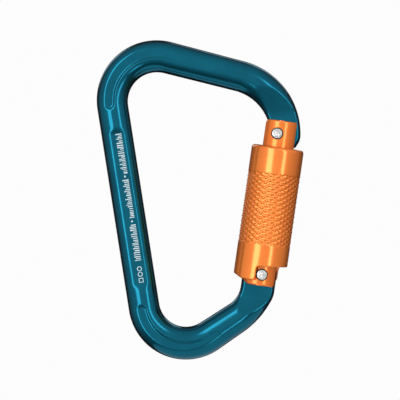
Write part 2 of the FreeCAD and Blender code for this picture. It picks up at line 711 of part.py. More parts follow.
def collar_openings(body):
    """The stud's way into its groove from below, and the socket of the spring's upper tang."""
    lead = 1.0
    level = V(0, 0, value_of("dims.collar_bottom") - lead)
    entry = value_of("dims.groove_start + dims.groove_sweep - dims.entry_inset")
    sketch = new_sketch(body, "stud_entry", "XY_Plane", level, V(0, 0, 1), entry)
    half = "(dims.stud_radius + dims.running_gap)"
    rectangle(sketch, "dims.gate_radius - 1", "dims.skirt_bore - dims.running_gap",
              f"-{half}", half)
    pocket(body, "entry_channel", sketch,
           f"dims.groove_along - dims.collar_bottom + {lead}", away=True)

    turn = value_of("dims.upper_tang")
    sketch = new_sketch(body, "tang_socket", "XY_Plane", level, V(0, 0, 1), turn)
    circle(sketch, "dims.sleeve_spring_coil", "0", "dims.sleeve_spring_wire / 2 + dims.tang_gap")
    pocket(body, "tang_socket_hole", sketch, f"dims.tang_reach + {lead}", away=True)


def skirt_cuts(body):
    """The notch round the hinge rivet's tall head, and the relief over the knee."""
    level = V(0, 0, value_of("dims.notch_top"))
    slope = -value_of("dims.notch_slope")
    sketch = new_sketch(body, "notch_sector", "XY_Plane", level, V(0, 1, 0), slope)
    reach = value_of("dims.sleeve_radius") + PAST
    sector(sketch, value_of("dims.notch_start"), value_of("dims.notch_sweep"), reach)
    pocket(body, "notch", sketch)

    sketch = new_sketch(body, "skirt_relief", "XZ_Plane")
    beside = "-dims.sleeve_radius - 1"
    run = "(dims.sleeve_radius + 1 - dims.saddle_start)"
    polygon(sketch, [
        ("-dims.saddle_start", "-dims.sleeve_bottom"),
        ("-dims.saddle_start", f"-dims.sleeve_bottom - {PAST}"),
        (beside, f"-dims.sleeve_bottom - {PAST}"),
        (beside, f"-dims.sleeve_bottom + {run} * dims.saddle_slope"),
    ])
    pocket(body, "saddle", sketch, side="Symmetric")


def make_sleeve():
    body = new_body("locking_sleeve")
    sleeve_blank(body)
    guide_groove(body)
    collar_openings(body)
    skirt_cuts(body)
    place_in_gate(body)
    return body


def sector(sketch, start, sweep, reach):
    """A pie slice about the sketch's origin, its angles in degrees."""
    def at(angle):
        return V(reach * math.cos(math.radians(angle)), reach * math.sin(math.radians(angle)), 0)

    sketch.addGeometry(Part.LineSegment(V(0, 0, 0), at(start)), False)
    sketch.addGeometry(Part.Arc(at(start), at(start + sweep / 2), at(start + sweep)), False)
    sketch.addGeometry(Part.LineSegment(at(start + sweep), V(0, 0, 0)), False)
    sketch.addConstraint(Sketcher.Constraint("Coincident", 0, 2, 1, 1))
    sketch.addConstraint(Sketcher.Constraint("Coincident", 1, 2, 2, 1))
    sketch.addConstraint(Sketcher.Constraint("Coincident", 0, 1, -1, 1))
    sketch.addConstraint(Sketcher.Constraint("Coincident", 2, 2, -1, 1))


# ---- springs --------------------------------------------------------------------

def coil(radius, low, high, turns, wire):
    """A round wire swept along a helix about the upright axis, starting on +X."""
    helix = Part.makeHelix((high - low) / turns, high - low, radius)
    helix.translate(V(0, 0, low))
    start = V(radius, 0, low)
    section = Part.Wire(Part.makeCircle(wire / 2, start, V(0, 1, 0)))
    return helix.makePipeShell([section], True, True)


def spring(label, shape):
    """A spring as a feature of its own, placed in the gate."""
    item = doc.addObject("Part::Feature", label)
    item.Label = label
    item.Shape = shape
    place_in_gate(item)
    return item


def make_gate_spring():
    """The compression spring between the plunger and the end of its bore."""
    shape = coil(
        value_of("dims.gate_spring_coil"),
        value_of("dims.plunger_shoulder + dims.gate_spring_wire / 2 + dims.spring_gap"),
        value_of("dims.bore_end - dims.gate_spring_wire / 2 - dims.spring_gap"),
        value_of("dims.gate_spring_turns"),
        value_of("dims.gate_spring_wire"),
    )
    return spring("gate_spring", shape)


def make_sleeve_spring():
    """The torsion spring round the gate, one tang in the gate and one in the collar."""
    wire = value_of("dims.sleeve_spring_wire")
    radius = value_of("dims.sleeve_spring_coil")
    low = value_of("dims.sleeve_spring_low")
    high = value_of("dims.sleeve_spring_high")
    reach = value_of("dims.tang_reach")
    upper = value_of("dims.upper_tang")
    turns = value_of("dims.sleeve_spring_whole") + upper / 360
    around = math.radians(upper)
    foot = V(radius, 0, low)
    head = V(radius * math.cos(around), radius * math.sin(around), high)
    lower_tang = Part.makeCylinder(wire / 2, reach, foot, V(-1, 0, 0))
    upper_tang = Part.makeCylinder(wire / 2, reach, head, V(0, 0, 1))
    knees = [Part.makeSphere(wire / 2, foot), Part.makeSphere(wire / 2, head)]
    shape = coil(radius, low, high, turns, wire).fuse([lower_tang, upper_tang, *knees])
    return spring("sleeve_spring", shape.Solids[0])


# ---- build, check, export -------------------------------------------------------

def checked(item):
    """Stop if a finished piece is missing, invalid or not one solid."""
    shape = item.Shape
    if shape.isNull() or not shape.isValid() or len(shape.Solids) != 1:
        raise RuntimeError(f"{item.Label} is not one valid solid")
    return item


def main():
    pieces = [
        make_body(),
        make_gate(),
        make_rivet("hinge_rivet", "dims.hinge_inset", "0", "dims.stop_head", "dims.flush_head"),
        make_rivet("latch_rivet", "dims.latch_across", "dims.latch_along",
                   "dims.flush_head", "dims.flush_head"),
        make_guide_stud(),
        make_centring_ring(),
        make_plunger(),
        make_sleeve(),
        make_gate_spring(),
        make_sleeve_spring(),
    ]
    doc.recompute()
    for item in doc.Objects:
        if "Invalid" in item.State or "Error" in item.State:
            raise RuntimeError(f"{item.Label} failed to build: {item.State}")
    for piece in pieces:
        box = checked(piece).Shape.BoundBox
        print(f"{piece.Label}: {piece.Shape.Volume:.1f} mm3, "
              f"x {box.XMin:.2f} to {box.XMax:.2f}, y {box.YMin:.2f} to {box.YMax:.2f}, "
              f"z {box.ZMin:.2f} to {box.ZMax:.2f}")
        piece.Shape.exportStep(f"parts/{piece.Label}.step")


main()
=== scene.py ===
import json
import math

import bmesh
import bpy
import numpy as np
from mathutils import Matrix, Vector


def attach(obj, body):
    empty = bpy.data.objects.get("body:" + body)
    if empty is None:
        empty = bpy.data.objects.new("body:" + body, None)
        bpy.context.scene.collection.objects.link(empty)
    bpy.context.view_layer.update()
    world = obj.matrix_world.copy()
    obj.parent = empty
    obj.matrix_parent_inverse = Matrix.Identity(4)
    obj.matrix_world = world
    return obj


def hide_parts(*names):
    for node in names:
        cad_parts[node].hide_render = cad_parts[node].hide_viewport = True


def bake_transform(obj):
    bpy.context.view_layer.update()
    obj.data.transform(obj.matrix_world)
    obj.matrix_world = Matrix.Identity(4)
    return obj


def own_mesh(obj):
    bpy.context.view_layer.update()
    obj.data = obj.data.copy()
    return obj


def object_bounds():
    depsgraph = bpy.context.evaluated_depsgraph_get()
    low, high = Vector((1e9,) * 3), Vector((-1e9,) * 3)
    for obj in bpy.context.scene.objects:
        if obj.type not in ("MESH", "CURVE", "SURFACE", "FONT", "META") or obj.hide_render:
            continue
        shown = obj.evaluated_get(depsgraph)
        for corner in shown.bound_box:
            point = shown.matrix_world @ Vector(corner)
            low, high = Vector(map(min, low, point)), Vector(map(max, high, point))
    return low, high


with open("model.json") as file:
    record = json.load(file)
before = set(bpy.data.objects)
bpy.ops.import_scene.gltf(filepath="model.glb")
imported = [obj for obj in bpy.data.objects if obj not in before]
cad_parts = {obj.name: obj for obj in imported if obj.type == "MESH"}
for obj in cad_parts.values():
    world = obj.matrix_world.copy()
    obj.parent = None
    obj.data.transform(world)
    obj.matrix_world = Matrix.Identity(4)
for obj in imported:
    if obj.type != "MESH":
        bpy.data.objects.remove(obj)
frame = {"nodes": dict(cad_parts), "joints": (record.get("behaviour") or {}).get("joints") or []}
cad_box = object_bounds()

MM = 0.001      # in metres

# Sizes below are in millimetres in the row frame: +Z up the spine, +X to the gate, Y through
# the thickness with the marked face at -Y. Gate pieces use the gate's frame: "across" outward
# and "along" up the gate from the level of the hinge rivet.


def joint_named(name):
    return next(joint for joint in frame["joints"] if joint["name"] == name)


TWIST = joint_named("sleeve_twist")
GATE_FOOT = np.array(TWIST["pos_m"], float)[[0, 2]] / MM
GATE_UP = -np.array(TWIST["axis"], float)[[0, 2]]
GATE_OUT = np.array([GATE_UP[1], -GATE_UP[0]])
HINGE = (0.66, 0.0)       # across and along, of the two rivets
LATCH = (-1.10, 51.2)


def gate_xz(across, along):
    """Row-frame x and z of a point of the gate's frame."""
    return GATE_FOOT + GATE_OUT * across + GATE_UP * along


def gate_space(across, depth, along):
    """Row-frame points from coordinates in the gate's frame."""
    plan = GATE_FOOT + np.multiply.outer(across, GATE_OUT) + np.multiply.outer(along, GATE_UP)
    depth = np.broadcast_to(depth, plan[..., 0].shape)
    return np.stack([plan[..., 0], depth, plan[..., 1]], axis=-1)


# ---- small mesh helpers ---------------------------------------------------------

FAR = 1e3      # beyond everything
CREASE = 40    # degrees between faces that stay sharp when shaded


def smooth_step(value, low, high):
    share = np.clip((value - low) / (high - low), 0.0, 1.0)
    return share * share * (3.0 - 2.0 * share)


def soft_min(a, b, width):
    """The lower of two heights, their crossing rounded over a width."""
    near = np.maximum(width - np.abs(a - b), 0.0) / width
    return np.minimum(a, b) - near * near * width / 4.0


def new_piece(name, points, faces, material, smooth=True):
    """A mesh object from points in millimetres."""
    mesh = bpy.data.meshes.new(name)
    mesh.from_pydata((np.asarray(points) * MM).tolist(), [], faces)
    mesh.validate()
    mesh.update()
    mesh.materials.append(material)
    if smooth:
        mesh.polygons.foreach_set("use_smooth", [True] * len(mesh.polygons))
    piece = bpy.data.objects.new(name, mesh)
    bpy.context.scene.collection.objects.link(piece)
    return piece


def outward(piece):
    """Turn every face of a closed mesh outward."""
    work = bmesh.new()
    work.from_mesh(piece.data)
    bmesh.ops.recalc_face_normals(work, faces=work.faces)
    work.to_mesh(piece.data)
    work.free()
    return piece


def ring_faces(rows, columns):
    """Quads between consecutive closed rings of equal length."""
    faces = []
    for row in range(rows - 1):
        for column in range(columns):
            following = (column + 1) % columns
            low, high = row * columns, (row + 1) * columns
            faces.append((low + column, low + following, high + following, high + column))
    return faces


def cut_away(piece, tool):
    """Subtract a closed mesh from a piece and delete the tool."""
    change = piece.modifiers.new("cut", "BOOLEAN")
    change.operation = "DIFFERENCE"
    change.solver = "EXACT"
    change.object = tool
    graph = bpy.context.evaluated_depsgraph_get()
    result = bpy.data.meshes.new_from_object(piece.evaluated_get(graph))
    piece.modifiers.remove(change)
    piece.data = result
    bpy.data.objects.remove(tool)
    return piece


def shade_by_angle(piece, degrees=CREASE):
    """Smooth shading that keeps edges sharper than an angle."""
    piece.data.shade_smooth()
    piece.data.set_sharp_from_angle(angle=math.radians(degrees))
    return piece


# ---- outlines -------------------------------------------------------------------

class Outline:
    """An open chain of straights and tangent arcs through rounded corners."""

    def __init__(self, corners):
        points = [np.array(point, float) for point, radius in corners]
        self.parts = []
        last = points[0]
        for i in range(1, len(points) - 1):
            radius = corners[i][1]
            start, end, centre = self.corner(*points[i - 1:i + 2], radius)
            self.parts.append(("line", last, start))
            self.parts.append(("arc", start, end, centre, radius))
            last = end
        self.parts.append(("line", last, points[-1]))

    @staticmethod
    def corner(before, corner, after, radius):
        """Start, end and centre of the arc that rounds a corner."""
        back = (before - corner) / np.linalg.norm(before - corner)
        ahead = (after - corner) / np.linalg.norm(after - corner)
        half = math.acos(float(np.clip(back @ ahead, -1, 1))) / 2
        middle = (back + ahead) / np.linalg.norm(back + ahead)
        reach = radius / math.tan(half)
        centre = corner + middle * radius / math.sin(half)
        return corner + back * reach, corner + ahead * reach, centre

    def length(self, part):
        if part[0] == "line":
            return float(np.linalg.norm(part[2] - part[1]))
        return abs(self.sweep(part)[1]) * part[4]

    @staticmethod
    def sweep(part):
        """Start angle and signed sweep of an arc."""
        start, end, centre = part[1:4]
        a = math.atan2(*(start - centre)[::-1])
        b = math.atan2(*(end - centre)[::-1])
        return a, (b - a + math.pi) % (2 * math.pi) - math.pi

    def at(self, part, share):
        """A point at a share of one part's length."""
        if part[0] == "line":
            return part[1] + (part[2] - part[1]) * share
        a, turn = self.sweep(part)
        angle = a + turn * share
        return part[3] + part[4] * np.array([math.cos(angle), math.sin(angle)])

    def stretch(self, first, last, count):
        """Points evenly spaced along the parts from first up to but not including last."""
        parts = self.parts[first:last]
        lengths = [self.length(part) for part in parts]
        ends = np.cumsum(lengths)
        found = []
        for distance in np.linspace(0, ends[-1], count, endpoint=False):
            i = min(int(np.searchsorted(ends, distance, side="right")), len(parts) - 1)
            share = (distance - (ends[i] - lengths[i])) / max(lengths[i], 1e-9)
            found.append(self.at(parts[i], share))
        return found

    def distance(self, points, parts=None):
        """Distance from each point to the chain, or to some of its parts."""
        best = np.full(len(points), FAR)
        for part in self.parts if parts is None else parts:
            if part[0] == "line":
                start, run = part[1], part[2] - part[1]
                if not run @ run > 1e-12:
                    continue
                share = np.clip((points - start) @ run / (run @ run), 0, 1)
                gap = np.linalg.norm(points - start - share[:, None] * run, axis=1)
            else:
                centre, radius = part[3], part[4]
                offset = points - centre
                a, turn = self.sweep(part)
                angle = np.arctan2(offset[:, 1], offset[:, 0]) - a
                angle = (angle * np.sign(turn) + 1e-9) % (2 * math.pi)
                inside = angle <= abs(turn) + 1e-6
                gap = np.abs(np.linalg.norm(offset, axis=1) - radius)
                ends = np.minimum(np.linalg.norm(points - part[1], axis=1),
                                  np.linalg.norm(points - part[2], axis=1))
                gap = np.where(inside, gap, ends)
            best = np.minimum(best, gap)
        return best


# ---- body -----------------------------------------------------------------------

HALF = 5.0                 # half the bar's thickness
BAR_ROUND = 5.3            # the bar's sides are nearly a half circle
THIN_HALF = 2.7            # half the thickness of the nose and the tongue
SPINE_OUT = -35.71
SPINE_IN = -24.49
NOSE_OUT, NOSE_IN = 7.642, -3.09
NOSE_TOE, NOSE_TOE_START = 6.2, 50.15  # the nose tapers to its tip
TONGUE_OUT, TONGUE_IN = 6.10, -6.20
NOSE_END, NOSE_END_IN = 46.9, 47.5
TONGUE_END = 3.6

# Corners from the nose's tip round the spine to the tongue's top, each with its radius.
OUTER = Outline([
    (gate_xz(1.0, NOSE_END + 0.15), None),
    (gate_xz(NOSE_TOE, NOSE_END), 0.8),
    (gate_xz(NOSE_OUT, NOSE_TOE_START), 5.8),
    (gate_xz(4.880, 72.969), 27.07),      # the bend ends just above the taper
    ((SPINE_OUT, 69.75), 21.70),
    ((SPINE_OUT, -70.60), 20.81),
    ((10.08, -48.24), 32.0),
    (gate_xz(TONGUE_OUT, -7.60), 9.2),
    (gate_xz(TONGUE_OUT, TONGUE_END), 2.7),
    (gate_xz(1.5, TONGUE_END), None),
])
INNER = Outline([
    (gate_xz(1.0, NOSE_END + 0.15), None),
    (gate_xz(NOSE_IN, NOSE_END_IN), 0.8),
    (gate_xz(NOSE_IN, 62.80), 17.03),
    ((SPINE_IN, 51.92), 10.53),
    ((SPINE_IN, -51.35), 9.76),
    (gate_xz(TONGUE_IN, -9.50), 9.2),
    (gate_xz(TONGUE_IN, TONGUE_END), 2.7),
    (gate_xz(-1.5, TONGUE_END), None),
])
# Matching stretches of the two outlines, as first and last part, and their station counts.
STRETCHES = [
    ((1, 2), (1, 2), 8),        # corners of the nose's tip
    ((2, 5), (2, 3), 40),       # nose
    ((5, 6), (3, 4), 90),       # bend over the nose
    ((6, 7), (4, 5), 70),       # top bar
    ((7, 8), (5, 6), 100),      # upper basket
    ((8, 9), (6, 7), 170),      # spine
    ((9, 10), (7, 8), 110),     # lower basket
    ((10, 11), (8, 9), 70),     # bottom bar
    ((11, 14), (9, 10), 60),    # knee
    ((14, 15), (10, 11), 16),   # tongue
    ((15, 16), (11, 12), 8),    # corners of the tongue's top
]
TOP_BAR, BOTTOM_BAR = 6, 10     # their straights in the outer outline


def stations(outer_chain, inner_chain, stretches):
    """Matching points on two outlines, from the first stretch's start to the last one's end."""
    outer, inner = [], []
    for (a, b), (c, d), count in stretches:
        outer += outer_chain.stretch(a, b, count)
        inner += inner_chain.stretch(c, d, count)
    (a, b), (c, d), count = stretches[-1]
    outer.append(outer_chain.parts[b - 1][2])
    inner.append(inner_chain.parts[d - 1][2])
    return np.array(outer), np.array(inner)


def side_height(distance):
    """Height of the round side at a distance in from the edge."""
    inside = np.minimum(distance, BAR_ROUND)
    rise = np.sqrt(np.maximum(BAR_ROUND ** 2 - (BAR_ROUND - inside) ** 2, 0.0))
    return HALF - BAR_ROUND + rise


def soft_foot(rise, width):
    """What a rounded foot adds where a ramp leaves a flat."""
    near = np.maximum(width - np.abs(rise), 0.0) / width
    return near * near * width / 4.0


def ramp_height(points, origin, toward, thin_at, full_at, foot):
    """Height of a face that ramps from thin to beyond full along a direction."""
    along = (points - np.array(origin)) @ np.array(toward)
    rise = (HALF - THIN_HALF) * (along - thin_at) / (full_at - thin_at)
    return THIN_HALF + np.maximum(rise, 0.0) + soft_foot(rise, foot)


NOSE_THIN_TOP, NOSE_RAMP_TOP = 25.0, 35.5    # the nose's ramps, along the spine
NOSE_CUT_FROM = 8.5
NOSE_FOOT = 0.5             # rounding where a ramp leaves its flat
TONGUE_FLAT_END, TONGUE_RAMP_END = -9.0, -14.6
TONGUE_CUT_FROM = -10.0
TONGUE_FOOT = 0.10
PANEL_TOP, PANEL_FOOT = 27.9, -29.2
PANEL_FLOOR = 4.45
PANEL_CLIMB = 0.35          # rise of the panel's ends per millimetre
PANEL_LEAD = 1.0            # how far before its ends the climb starts
PANEL_OVERRUN = 1.0         # past the spine's inner side
TRACK_FLOOR = 4.35
TRACK_OUTER, TRACK_INNER = 1.7, 6.9    # walls of the recesses, in from the outer edge
TRACK_WALL = 1.0
TRACK_START = 35.4
UPPER_TRACK_END = (9.6, 46.1)
LOWER_TRACK_END = (-2.7, -52.1)
TRACK_FADE = 30.0           # length over which the recesses grow shallow
TRACK_SHALLOW = 0.85        # share of its depth that the upper one loses
TRACK_SPINE_WIDTH = 12.5    # the round end on the spine lies within this
TRACK_LOW = 20.0            # no recess nearer the middle of the spine
TRACK_MARGIN, TRACK_OVER = 0.3, 0.1
BAR_BLEND, PANEL_BLEND, TRACK_BLEND, NOSE_BLEND, TONGUE_BLEND = 0.02, 0.30, 0.16, 0.2, 0.25


def nose_height(points):
    """The nose's thinned faces, which climb into the bend above it."""
    height = ramp_height(points, (0, 0), (0, 1), NOSE_THIN_TOP, NOSE_RAMP_TOP, NOSE_FOOT)
    return np.where((points[:, 0] > NOSE_CUT_FROM) & (points[:, 1] > 0), height, FAR)


def tongue_height(points):
    """The tongue's thinned faces, which climb into the knee below it."""
    height = ramp_height(points, GATE_FOOT, -GATE_UP, -TONGUE_FLAT_END, -TONGUE_RAMP_END,
                         TONGUE_FOOT)
    return np.where((points[:, 1] < 0) & (points[:, 0] > TONGUE_CUT_FROM), height, FAR)


def panel_height(points):
    """The stamped flat along the spine, rising to the neck at both ends."""
    x, z = points[:, 0], points[:, 1]
    beyond = np.maximum(z - PANEL_TOP, PANEL_FOOT - z) + PANEL_LEAD
    floor = PANEL_FLOOR + PANEL_CLIMB * np.maximum(beyond, 0.0)
    return np.where(x < SPINE_IN + PANEL_OVERRUN, floor, FAR)


def track_height(points, from_outer, side):
    """The recess round one basket: its floor, walls and two round ends."""
    x, z = points[:, 0], points[:, 1]
    end = UPPER_TRACK_END if side > 0 else LOWER_TRACK_END
    bar = OUTER.parts[TOP_BAR if side > 0 else BOTTOM_BAR]
    run = (bar[1] - bar[2]) * side
    run = run / np.linalg.norm(run)
    middle = (TRACK_OUTER + TRACK_INNER) / 2
    half = (TRACK_INNER - TRACK_OUTER) / 2
    over_spine = np.maximum(TRACK_START + half - z * side, 0.0)
    over_spine = np.where(x < SPINE_OUT + TRACK_SPINE_WIDTH, over_spine, 0.0)
    along_bar = (points - np.array(end)) @ run
    over_bar = np.where(side * z > 0, np.maximum(along_bar + half, 0.0), 0.0)
    outside = np.hypot(from_outer - middle, np.maximum(over_spine, over_bar)) - half
    shallow = smooth_step(along_bar, -TRACK_FADE, 0.0)
    shallow = shallow * np.where(side * z > 0, TRACK_SHALLOW, 0.0)
    floor = TRACK_FLOOR + (HALF - TRACK_FLOOR) * shallow
    height = floor + (HALF + TRACK_OVER - floor) * smooth_step(outside, -TRACK_WALL, 0.0)
    return np.where((outside > TRACK_MARGIN) | (side * z < TRACK_LOW), FAR, height)


OUTER_SIDE, OUTER_ENDS = OUTER.parts[2:15], OUTER.parts[:2] + OUTER.parts[15:]
INNER_SIDE, INNER_ENDS = INNER.parts[2:11], INNER.parts[:2] + INNER.parts[11:]
END_EDGE = 0.5      # rounding of the blunt ends of the nose and the tongue


def edge_drop(distance, radius):
    """How far a face falls towards a rounded edge, at a distance in from it."""
    inside = np.minimum(distance, radius)
    return radius - np.sqrt(radius ** 2 - (radius - inside) ** 2)


def body_height(points):
    """Half thickness of the body at each point of the row frame."""
    from_outer = OUTER.distance(points, OUTER_SIDE)
    from_inner = INNER.distance(points, INNER_SIDE)
    height = soft_min(side_height(from_outer), side_height(from_inner), BAR_BLEND)
    height = soft_min(height, panel_height(points), PANEL_BLEND)
    for side in (1, -1):
        height = soft_min(height, track_height(points, from_outer, side), TRACK_BLEND)
    height = soft_min(height, nose_height(points), NOSE_BLEND)
    height = soft_min(height, tongue_height(points), TONGUE_BLEND)
    return height - edge_drop(OUTER.distance(points, OUTER_ENDS + INNER_ENDS), END_EDGE)


THINNEST = 0.02     # keeps the two faces apart where an edge runs out
SIDE_TURN = 62      # degrees of the round side that the close columns cover
SIDE_COLUMNS, MIDDLE_COLUMNS = 14, 24
SIDE_SHARE = 0.42   # most of a row's length that one side's columns take


def slab(name, outer, inner, height_at, material):
    """A closed piece between two matched edge lines, as thick as height_at says."""
    angles = np.radians(np.linspace(0, SIDE_TURN, SIDE_COLUMNS))
    near = BAR_ROUND * (1 - np.cos(angles))
    between = np.linspace(0, 1, MIDDLE_COLUMNS + 2)[1:-1]
    steps = []
    for total in np.linalg.norm(inner - outer, axis=1):
        left = near * min(1.0, total * SIDE_SHARE / near[-1])
        middle = left[-1] + (total - 2 * left[-1]) * between
        steps.append(np.concatenate([left, middle, total - left[::-1]]) / total)
    steps = np.array(steps)
    plan = outer[:, None, :] + (inner - outer)[:, None, :] * steps[:, :, None]
    rows, across = steps.shape
    height = np.maximum(height_at(plan.reshape(-1, 2)).reshape(rows, across), THINNEST)
    height[:, [0, -1]] = 0.0
    front = np.dstack([plan[:, :, 0], -height, plan[:, :, 1]])
    back = np.dstack([plan[:, :, 0], height, plan[:, :, 1]])
    ring = np.concatenate([front, back[:, -2:0:-1, :]], axis=1)
    columns = ring.shape[1]
    faces = ring_faces(rows, columns)
    for start in (0, (rows - 1) * columns):
        for i in range(1, across - 2):
            faces.append((start + i, start + i + 1, start + columns - i - 1, start + columns - i))
        faces.append((start, start + 1, start + columns - 1))
        faces.append((start + across - 2, start + across - 1, start + across))
    return outward(new_piece(name, ring.reshape(-1, 3), faces, material))


THROUGH = 9.0       # half depth of a cut through the whole thickness


def prism(name, outline, depths=(-THROUGH, THROUGH)):
    """A closed mesh between two copies of an outline in the gate's frame."""
    across, along = np.array(outline).T
    points = np.concatenate([gate_space(across, depth, along) for depth in depths])
    return cutting_tool(name, points, len(outline))


def cutting_tool(name, points, count):
    """A closed mesh from two rings of count points each."""
    faces = ring_faces(2, count) + [tuple(range(count)), tuple(range(count, 2 * count))]
    return outward(new_piece(name, points, faces, teal, smooth=False))


def disc(across, along, radius, first=0.0, last=360.0, count=48):
    """Points round part of a circle in the gate's frame."""
    turns = np.radians(np.linspace(first, last, count, endpoint=last - first < 360))
    return [(across + radius * math.cos(turn), along + radius * math.sin(turn)) for turn in turns]


LATCH_SLOT_R = 1.9
LATCH_SLOT_MOUTH = -6.0     # across, clear of the nose's inner side
HINGE_HOLE_R = 1.66


def make_body(material):
    body = slab("carabiner_body", *stations(OUTER, INNER, STRETCHES), body_height, material)
    across, along = LATCH
    latch = [(LATCH_SLOT_MOUTH, along - LATCH_SLOT_R)]
    latch += disc(across, along, LATCH_SLOT_R, -90, 90, 17)
    latch += [(LATCH_SLOT_MOUTH, along + LATCH_SLOT_R)]
    cut_away(body, prism("latch_slot", latch))
    cut_away(body, prism("hinge_hole", disc(*HINGE, HINGE_HOLE_R)))
    add_marks(body)
    return shade_by_angle(body)


# ---- etched marks ---------------------------------------------------------------

MARK_X = -29.55
MARK_HALF = 1.12
MARK_FRONT, MARK_FOOT = -PANEL_FLOOR - 0.012, -PANEL_FLOOR + 0.05
MARK_GROUPS = [(26.6, 12.2), (9.8, -4.2), (-6.6, -20.0)]
MARK_DOTS = [11.0, -5.4]
MARK_RINGS = [-22.7, -24.7]
MARK_FRAME = -26.9
STROKE_WIDTH, STROKE_GAP = (0.22, 0.42), (0.24, 0.48)
STROKE_INSETS = [0.0, 0.0, 0.5, 0.9]
DOT_HALF = 0.3
RING_RADII, RING_SIDES = (0.88, 0.62), 28
FRAME_RADII, FRAME_SIDES = (1.15, 0.85), 4


def add_marks(body):
    """Pale etched strokes, dots, rings and a small frame, as plain pads on the panel."""
    chance = np.random.default_rng(5)
    loops = []

    def stroke(x_low, x_high, z_low, z_high):
        loops.append([(x_low, z_low), (x_high, z_low), (x_high, z_high), (x_low, z_high)])

    for top, foot in MARK_GROUPS:
        z = top
        while z > foot:
            wide = chance.uniform(*STROKE_WIDTH)
            inset = chance.choice(STROKE_INSETS)
            stroke(MARK_X - MARK_HALF + inset, MARK_X + MARK_HALF, z - wide, z)
            z -= wide + chance.uniform(*STROKE_GAP)
    for z in MARK_DOTS:
        stroke(MARK_X - DOT_HALF, MARK_X + DOT_HALF, z - DOT_HALF, z + DOT_HALF)
    points, faces = [], []
    for z in MARK_RINGS:
        add_band(points, faces, z, *RING_RADII, RING_SIDES)
    add_band(points, faces, MARK_FRAME, *FRAME_RADII, FRAME_SIDES)
    for loop in loops:
        count, start = len(loop), len(points)
        for y in (MARK_FRONT, MARK_FOOT):
            points += [(x, y, z) for x, z in loop]
        faces += [(start + i, start + (i + 1) % count, start + count + (i + 1) % count,
                   start + count + i) for i in range(count)]
        faces += [tuple(range(start, start + count)),
                  tuple(range(start + count, start + 2 * count))]
    marks = outward(new_piece("etched_marks", points, faces, etched, smooth=False))
    work = bmesh.new()
    work.from_mesh(body.data)
    before = len(work.faces)
    work.from_mesh(marks.data)
    work.faces.ensure_lookup_table()
    for face in work.faces[before:]:
        face.material_index = 1
    body.data.materials.append(etched)
    work.to_mesh(body.data)
    work.free()
    bpy.data.objects.remove(marks)


def add_band(points, faces, z, outer, inner, count):
    """A closed ring on the panel, or a square frame with four sides."""
    start = len(points)
    for i in range(count):
        turn = math.pi / 4 + 2 * math.pi * i / count
        for radius, y in ((inner, MARK_FRONT), (outer, MARK_FRONT),
                          (outer, MARK_FOOT), (inner, MARK_FOOT)):
            points.append((MARK_X + radius * math.cos(turn), y, z + radius * math.sin(turn)))
        this, following = start + 4 * i, start + 4 * ((i + 1) % count)
        faces += [(this + k, this + (k + 1) % 4, following + (k + 1) % 4, following + k)
                  for k in range(4)]


# ---- materials ------------------------------------------------------------------

def shader(name):
    material = bpy.data.materials.new(name)
    material.use_nodes = True
    nodes = material.node_tree.nodes
    return material, nodes, material.node_tree.links, nodes["Principled BSDF"]


def noise(nodes, links, scale, detail):
    """Noise in object space, its scale in features per millimetre."""
    place = nodes.new("ShaderNodeTexCoord")
    texture = nodes.new("ShaderNodeTexNoise")
    texture.inputs["Scale"].default_value = scale / MM
    texture.inputs["Detail"].default_value = detail
    links.new(place.outputs["Object"], texture.inputs["Vector"])
    return texture


def ramp(nodes, links, source, low, high):
    """A colour carried from the middle of the noise's range to low..high."""
    mix = nodes.new("ShaderNodeValToRGB")
    mix.color_ramp.elements[0].position = 0.35
    mix.color_ramp.elements[1].position = 0.65
    mix.color_ramp.elements[0].color = (*low, 1)
    mix.color_ramp.elements[1].color = (*high, 1)
    links.new(source, mix.inputs["Fac"])
    return mix.outputs["Color"]


def spread(nodes, links, source, low, high):
    """A value carried from the middle of the noise's range to low..high."""
    change = nodes.new("ShaderNodeMapRange")
    change.inputs["From Min"].default_value = 0.3
    change.inputs["From Max"].default_value = 0.7
    change.inputs["To Min"].default_value = low
    change.inputs["To Max"].default_value = high
    links.new(source, change.inputs["Value"])
    return change.outputs["Result"]


def add_bump(nodes, links, target, source, height):
    bump = nodes.new("ShaderNodeBump")
    bump.inputs["Distance"].default_value = height * MM
    bump.inputs["Strength"].default_value = 1.0
    links.new(source, bump.inputs["Height"])
    links.new(bump.outputs["Normal"], target.inputs["Normal"])


def anodised(name, low, high, roughness, coat, metallic=1.0):
    """Dyed anodised aluminium: metallic, satin, faintly mottled, with a fine tumbled grain."""
    material, nodes, links, surface = shader(name)
    surface.inputs["Metallic"].default_value = metallic
    surface.inputs["Coat Weight"].default_value = coat
    surface.inputs["Coat Roughness"].default_value = 0.15
    cloud = noise(nodes, links, 0.12, 2.0)
    links.new(ramp(nodes, links, cloud.outputs["Fac"], low, high), surface.inputs["Base Color"])
    satin = noise(nodes, links, 1.1, 4.0)
    links.new(spread(nodes, links, satin.outputs["Fac"], roughness * 0.88, roughness * 1.14),
              surface.inputs["Roughness"])
    fine = noise(nodes, links, 2.6, 5.0)
    add_bump(nodes, links, surface, fine.outputs["Fac"], 0.004)
    return material


def bare_metal(name, low, high, roughness, grain):
    """Undyed metal, its gloss uneven and its surface finely worked."""
    material, nodes, links, surface = shader(name)
    surface.inputs["Metallic"].default_value = 1.0
    cloud = noise(nodes, links, 0.8, 3.0)
    links.new(ramp(nodes, links, cloud.outputs["Fac"], low, high), surface.inputs["Base Color"])
    satin = noise(nodes, links, 2.0, 4.0)
    links.new(spread(nodes, links, satin.outputs["Fac"], roughness * 0.7, roughness * 1.4),
              surface.inputs["Roughness"])
    add_bump(nodes, links, surface, satin.outputs["Fac"], grain)
    return material


